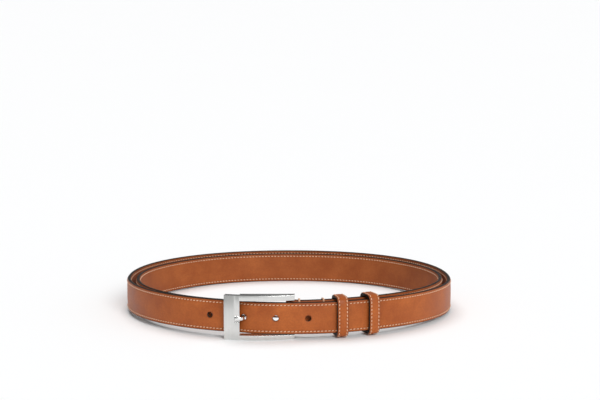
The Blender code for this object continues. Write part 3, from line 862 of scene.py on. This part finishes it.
def band(name, angle, middle, low, high, looks, crowned):
    """Strip of leather bent into the keeper's loop, between two distances outwards."""
    along = direction(angle)
    along = Vector((along.x, along.y, 0.0))
    half = [(w, high - low + c * (1.0 if crowned else 0.2)) for w, c in KEEPER_HALF]
    section = [(-w, t) for w, t in reversed(half)] + half[1:]
    section += [(4.48, (high - low) * 0.45), (4.40, 0.12), (4.2, 0.0), (0.0, 0.0), (-4.2, 0.0), (-4.40, 0.12),
                (-4.48, (high - low) * 0.45)]
    segments = zip(section, section[1:] + section[:1])
    segment_look = [1 if abs(a[0] + b[0]) / 2 > 4.1 else 0 for a, b in segments]
    rings, wear_and_shade = [], []
    for point, _, out in loop_frames(angle, middle, low, 0.8):
        rings.append([point + along * w + out * t for w, t in section])
        for w, _ in section:
            # wear at the loop's edges, painted shade along its stitch grooves
            edge = max(0.0, (abs(w) - 3.6) / 0.8)
            groove = math.exp(-((abs(w) - KEEPER_STITCH) / 0.3) ** 2)
            wear_and_shade.append(min(0.85, 0.7 * edge + 0.4 * groove))
    return sweep(name, rings, looks, segment_look, wear_and_shade)


def staple_path(angle, middle):
    """Bent wire through both plies of the loop, with its crown outside."""
    crown = KEEPER_MIDDLE_DEPTH + KEEPER_TO_BACK + KEEPER_FACE[1] + GLUE_GAP + STAPLE_WIRE
    inner = crown - KEEPER_FACE[1] - 0.2
    span = STAPLE_SPAN / 2 - STAPLE_WIRE
    profile = [(inner, span), (crown - 0.35, span), (crown - 0.1, span - 0.1), (crown, span - 0.35)]
    profile += [(depth, -height) for depth, height in reversed(profile)]
    points = []
    for depth, height in profile:
        point = place(angle, depth)
        points.append((point.x, point.y, middle + height))
    return points


def make_keeper(kind, angle, middle, body):
    along = direction(angle)
    along = Vector((along.x, along.y, 0.0))
    face = band(f"keeper_{kind}_leather", angle, middle, *KEEPER_FACE, [TAN, EDGE], True)
    adopt(face, body, f"keeper_{kind}_face")
    lining = band(f"keeper_{kind}_inner_leather", angle, middle, *KEEPER_LINING, [DARK_LINING, EDGE], False)
    adopt(lining, body, f"keeper_{kind}_lining")
    wire = merge(f"keeper_{kind}_wire", [tube(staple_path(angle, middle), STAPLE_WIRE)], [POLISHED])
    adopt(wire, body, f"keeper_{kind}_staple")
    spots = loop_frames(angle, middle, KEEPER_FACE[1], STITCH_PITCH)[2:-2]
    for side, sign in (("near", -1), ("far", 1)):
        frames = [(point + along * sign * KEEPER_STITCH - out * 0.03, ahead, along * sign, out)
                  for point, ahead, out in spots]
        piece = stitches(f"keeper_{kind}_stitches_{side}", frames)
        adopt(piece, body, f"keeper_{kind}_thread_{side}")


# ---------------------------------------------------------------- buckle

def outline_piece(name, points, low, high, look):
    """Filled plan outline, extruded between two heights."""
    curve = bpy.data.curves.new(name + "_outline", "CURVE")
    curve.dimensions = "2D"
    curve.fill_mode = "BOTH"
    curve.extrude = (high - low) / 2
    spline = curve.splines.new("POLY")
    spline.points.add(len(points) - 1)
    for target, (x, y) in zip(spline.points, points):
        target.co = (x, y, 0.0, 1.0)
    spline.use_cyclic_u = True
    drawn = bpy.data.objects.new(name + "_outline", curve)
    bpy.context.scene.collection.objects.link(drawn)
    mesh = bpy.data.meshes.new_from_object(drawn.evaluated_get(bpy.context.evaluated_depsgraph_get()))
    bpy.data.objects.remove(drawn)
    bm = bmesh.new()
    bm.from_mesh(mesh)
    bmesh.ops.remove_doubles(bm, verts=bm.verts, dist=0.001)
    bmesh.ops.dissolve_limit(bm, angle_limit=0.001, verts=bm.verts, edges=bm.edges)
    for vert in bm.verts:
        vert.co = Vector(to_world((vert.co.x, vert.co.y, vert.co.z + (high + low) / 2)))
    bmesh.ops.recalc_face_normals(bm, faces=bm.faces)
    bm.to_mesh(mesh)
    bm.free()
    return new_piece(name, mesh, [look])


def rod(name, radius, length, centre, look, segments=48, rounding=0.0):
    """Upright round bar, with its ends rounded."""
    bm = bmesh.new()
    bmesh.ops.create_cone(bm, cap_ends=True, segments=segments, radius1=radius * MM, radius2=radius * MM,
                          depth=length * MM, matrix=Matrix.Translation(Vector(to_world(centre))))
    if rounding:
        rims = [e for e in bm.edges if abs(e.verts[0].co.z - e.verts[1].co.z) < 1e-7]
        bmesh.ops.bevel(bm, geom=rims, offset=rounding * MM, segments=3, profile=0.5, affect="EDGES")
    mesh = bpy.data.meshes.new(name)
    bm.to_mesh(mesh)
    bm.free()
    return new_piece(name, mesh, [look])


def round_edges(obj, width, segments, angle=35.0):
    rounding = obj.modifiers.new("edges", "BEVEL")
    rounding.width = width * MM
    rounding.segments = segments
    rounding.limit_method = "ANGLE"
    rounding.angle_limit = math.radians(angle)
    rounding.harden_normals = True


def shade(obj, limit=32.0):
    """Smooth shading, with sharp edges where faces meet at more than the limit."""
    mesh = obj.data
    mesh.shade_smooth()
    mesh.set_sharp_from_angle(angle=math.radians(limit))


def frame_arc(steps=64):
    """Centre and radius of the frame's bowed front, and its points from left to right."""
    left, right = Vector(FRAME_LEFT), Vector(FRAME_RIGHT)
    chord = right - left
    half = chord.length / 2
    radius = (half ** 2 + FRAME_BOW ** 2) / (2 * FRAME_BOW)
    forward = Vector((chord.y, -chord.x)).normalized()
    centre = (left + right) / 2 + forward * (FRAME_BOW - radius)
    reach = math.asin(half / radius)
    base = math.atan2(forward.y, forward.x)
    points = []
    for k in range(steps + 1):
        around = base - reach + 2 * reach * k / steps
        points.append(centre + radius * Vector((math.cos(around), math.sin(around))))
    return points, centre, radius


def chamfer_front(metal, centre, radius):
    """Wide chamfers round the bowed front's outer edges, small ones on every other edge."""
    mesh = metal.data
    weights = mesh.attributes.new("bevel_weight_edge", "FLOAT", "EDGE").data
    arc_centre = Vector(to_world((centre.x, centre.y, 0.0))).to_2d()
    left, right = FRAME_LEFT[0] * MM, FRAME_RIGHT[0] * MM
    bm = bmesh.new()
    bm.from_mesh(mesh)
    bm.edges.ensure_lookup_table()
    for edge, weight in zip(bm.edges, weights):
        sharp = len(edge.link_faces) == 2 and edge.calc_face_angle(0.0) > math.radians(35.0)
        if not sharp:
            continue
        ends = [v.co for v in edge.verts]
        on_front = all((v.to_2d() - arc_centre).length > (radius - 0.05) * MM for v in ends)
        outer = any(all(abs(v[axis] - limit) < 0.0001 for v in ends)
                    for axis, limit in ((2, 0.0), (2, FRAME_HEIGHT * MM), (0, left), (0, right)))
        weight.value = 1.0 if on_front and outer else EDGE_ROUNDING / FRONT_CHAMFER
    bm.free()
    rounding = metal.modifiers.new("edges", "BEVEL")
    rounding.width = FRONT_CHAMFER * MM
    rounding.segments = 4
    rounding.limit_method = "WEIGHT"
    rounding.harden_normals = True


def make_frame():
    front, centre, radius = frame_arc()
    right_end = FRAME_RIGHT[0]
    outline = [(p.x, p.y) for p in front]
    outline += [(right_end, LUG_BACK + 1.0), (right_end - 0.3, LUG_BACK + 0.3), (right_end - 1.0, LUG_BACK),
                (LUG_LEFT + 3.2, LUG_BACK), (LUG_LEFT + 1.6, LUG_BACK - 0.5),
                (LUG_LEFT + 0.6, LUG_BACK - 1.6), (LUG_LEFT - 0.6, LUG_BACK - 3.4),
                (LUG_LEFT - 2.2, LUG_BACK - 5.0), (LUG_LEFT - 4.6, FRAME_BACK),
                (WINDOW_LEFT, FRAME_BACK)]
    # behind the front bar the back follows the curve of the face, to clear the strap
    behind = [centre + (point - centre) * (radius - FRONT_BAR_THICK) / radius
              for point in front if point.x < WINDOW_LEFT]
    outline += [(p.x, p.y) for p in reversed(behind)]
    metal = outline_piece("buckle_frame_metal", outline, 0.0, FRAME_HEIGHT, POLISHED)
    window_top = FRAME_HEIGHT - UPPER_BAR
    window = box_cutter((WINDOW_LEFT, -130.0, LOWER_BAR), (right_end + 5.0, -90.0, window_top), POLISHED)
    notch = box_cutter((NOTCH[0], -125.0, PRONG_MIDDLE - NOTCH_HEIGHT / 2),
                       (WINDOW_LEFT + 1.0, NOTCH[1], PRONG_MIDDLE + NOTCH_HEIGHT / 2), POLISHED)
    lower_step = box_cutter((LUG_LEFT - 12.0, FRAME_BACK, -5.0), (right_end + 5.0, LUG_BACK + 5.0, LUG_STEP),
                            POLISHED)
    upper_step = box_cutter((LUG_LEFT - 12.0, FRAME_BACK, FRAME_HEIGHT - LUG_STEP),
                            (right_end + 5.0, LUG_BACK + 5.0, FRAME_HEIGHT + 5.0), POLISHED)
    middle = (*PIVOT, FRAME_HEIGHT / 2)
    seat = rod("pin_seat", PIN_RADIUS + GLUE_GAP, FRAME_HEIGHT, middle, POLISHED)
    cutters = (window, notch, lower_step, upper_step, seat)
    for cutter in cutters:
        cut(metal, cutter)
    applied(metal, *cutters)
    chamfer_front(metal, centre, radius)
    applied(metal)
    metal.data.materials.clear()
    metal.data.materials.append(POLISHED)
    metal.data.materials.append(SATIN)
    arc_centre = Vector(to_world((centre.x, centre.y, 0.0)))
    for face in metal.data.polygons:
        outward = Vector((face.center.x - arc_centre.x, face.center.y - arc_centre.y, 0.0))
        in_front = outward.length > (radius - 0.4) * MM
        face.material_index = 1 if in_front and face.normal.dot(outward.normalized()) > 0.97 else 0
    shade(metal)
    adopt(metal, "buckle", "buckle_frame")

    pin = rod("buckle_pin_metal", PIN_RADIUS, FRAME_HEIGHT - 2 * LUG_STEP, middle, POLISHED, 48, 0.35)
    shade(pin)
    adopt(pin, "buckle", "buckle_pin")


def make_prong():
    route = smooth_route(PRONG_ROUTE, 10)
    last = len(route) - 1
    left_side, right_side = [], []
    for k, point in enumerate(route):
        ahead = route[min(k + 1, last)] - route[max(k - 1, 0)]
        side = Vector((-ahead.y, ahead.x)).normalized() * PRONG_THICK / 2
        left_side.append(point + side)
        right_side.append(point - side)
    heading = (route[-1] - route[-2]).normalized()
    across = Vector((-heading.y, heading.x)) * PRONG_THICK / 2
    nose = []
    for turn in (67.5, 45.0, 22.5, 0.0, -22.5, -45.0, -67.5):
        share = math.radians(turn)
        nose.append(route[-1] + heading * 0.7 * math.cos(share) + across * math.sin(share))
    outline = [(p.x, p.y) for p in left_side + nose + right_side[::-1]]
    middle = PRONG_MIDDLE
    metal = outline_piece("prong_metal", outline, middle - PRONG_WIDE / 2, middle + PRONG_WIDE / 2, POLISHED)
    round_edges(metal, 0.65, 4, 50.0)
    eye = rod("prong_eye", EYE_RADIUS, PRONG_WIDE + 0.4, (*PIVOT, middle), POLISHED, 56, 0.3)
    bore = rod("prong_bore", PIN_RADIUS + GLUE_GAP, 20.0, (*PIVOT, middle), POLISHED)
    cut(metal, eye, "UNION")
    cut(metal, bore)
    applied(metal, eye, bore)
    metal.data.materials.clear()
    metal.data.materials.append(POLISHED)
    shade(metal)
    adopt(metal, "prong", "prong")


# ---------------------------------------------------------------- stage, light and camera

CAMERA_AIM = (9.1, 0.0, 91.3)
CAMERA_DISTANCE = 1428.0
CAMERA_PITCH = math.radians(8.81)
CAMERA_LENS = 103.5
BRIGHT_SIDE = (0.62, -0.74, 0.25)
DIM_SHARE = 0.34              # of the studio's light, away from the bright side
BRIGHT_SHARE = 1.30
STUDIO_STRENGTH = 0.42
SUNS = {"key": ((0.30, -0.78, 0.54), 1.75, 30.0), "top": ((-0.12, 0.34, 0.93), 1.50, 45.0)}


def make_stage():
    mesh = bpy.data.meshes.new("floor")
    reach = 12.0
    mesh.from_pydata([(-reach, -reach, 0), (reach, -reach, 0), (reach, reach * 2, 0), (-reach, reach * 2, 0)],
                     [], [(0, 1, 2, 3)])
    floor = new_piece("floor", mesh, [floor_material("pale_floor", (0.955, 0.96, 0.965))])


def make_light():
    world = bpy.data.worlds.new("studio")
    bpy.context.scene.world = world
    world.use_nodes = True
    tree = world.node_tree
    towards = node(tree, "TexCoord").outputs["Generated"]
    up = node(tree, "SeparateXYZ", {"Vector": towards}).outputs["Z"]
    tone = node(tree, "ValToRGB", {"Fac": up})
    stops = tone.color_ramp.elements
    stops[0].position, stops[0].color = 0.0, (1.0, 1.0, 1.0, 1.0)
    stops[1].position, stops[1].color = 0.80, (1.0, 1.0, 1.0, 1.0)
    for position, value in ((0.93, 0.35), (1.0, 0.12)):
        stops.new(position).color = (value, value, value, 1.0)
    # the studio is brightest at the right of the camera and dimmest opposite
    side = node(tree, "VectorMath", operation="DOT_PRODUCT")
    tree.links.new(towards, side.inputs[0])
    side.inputs[1].default_value = BRIGHT_SIDE
    share = ramp(tree, side.outputs["Value"], -0.9, 0.9, DIM_SHARE, BRIGHT_SHARE)
    studio = node(tree, "VectorMath", operation="SCALE")
    tree.links.new(tone.outputs["Color"], studio.inputs[0])
    tree.links.new(share, studio.inputs["Scale"])
    background = tree.nodes["Background"]
    tree.links.new(studio.outputs["Vector"], background.inputs["Color"])
    background.inputs["Strength"].default_value = STUDIO_STRENGTH

    for name, (source, energy, softness) in SUNS.items():
        sun = bpy.data.lights.new(name, "SUN")
        sun.energy = energy
        sun.angle = math.radians(softness)
        lamp = bpy.data.objects.new(name, sun)
        lamp.rotation_euler = Vector(source).to_track_quat("Z", "Y").to_euler()
        lamp.visible_glossy = name == "key"
        bpy.context.scene.collection.objects.link(lamp)


def make_camera():
    lens = bpy.data.cameras.new("camera")
    lens.lens = CAMERA_LENS
    lens.sensor_width = 36.0
    lens.clip_end = 60.0
    camera = bpy.data.objects.new("camera", lens)
    back = Vector((0.0, -math.cos(CAMERA_PITCH), math.sin(CAMERA_PITCH))) * CAMERA_DISTANCE
    camera.location = to_world(Vector(CAMERA_AIM) + back)
    camera.rotation_euler = (math.pi / 2 - CAMERA_PITCH, 0.0, 0.0)
    bpy.context.scene.collection.objects.link(camera)
    bpy.context.scene.camera = camera


make_camera()
make_stage()
make_light()
make_strap()
for stitch_row in ("upper", "lower"):
    strap_stitches("outer", stitch_row, *OUTER_STITCHES)
    strap_stitches("inner", stitch_row, *INNER_STITCHES)
make_tacks()
for keeper_kind, (keeper_angle, keeper_height, keeper_body) in KEEPERS.items():
    make_keeper(keeper_kind, keeper_angle, keeper_height, keeper_body)
make_frame()
make_prong()
bpy.context.scene.view_settings.view_transform = "Standard"
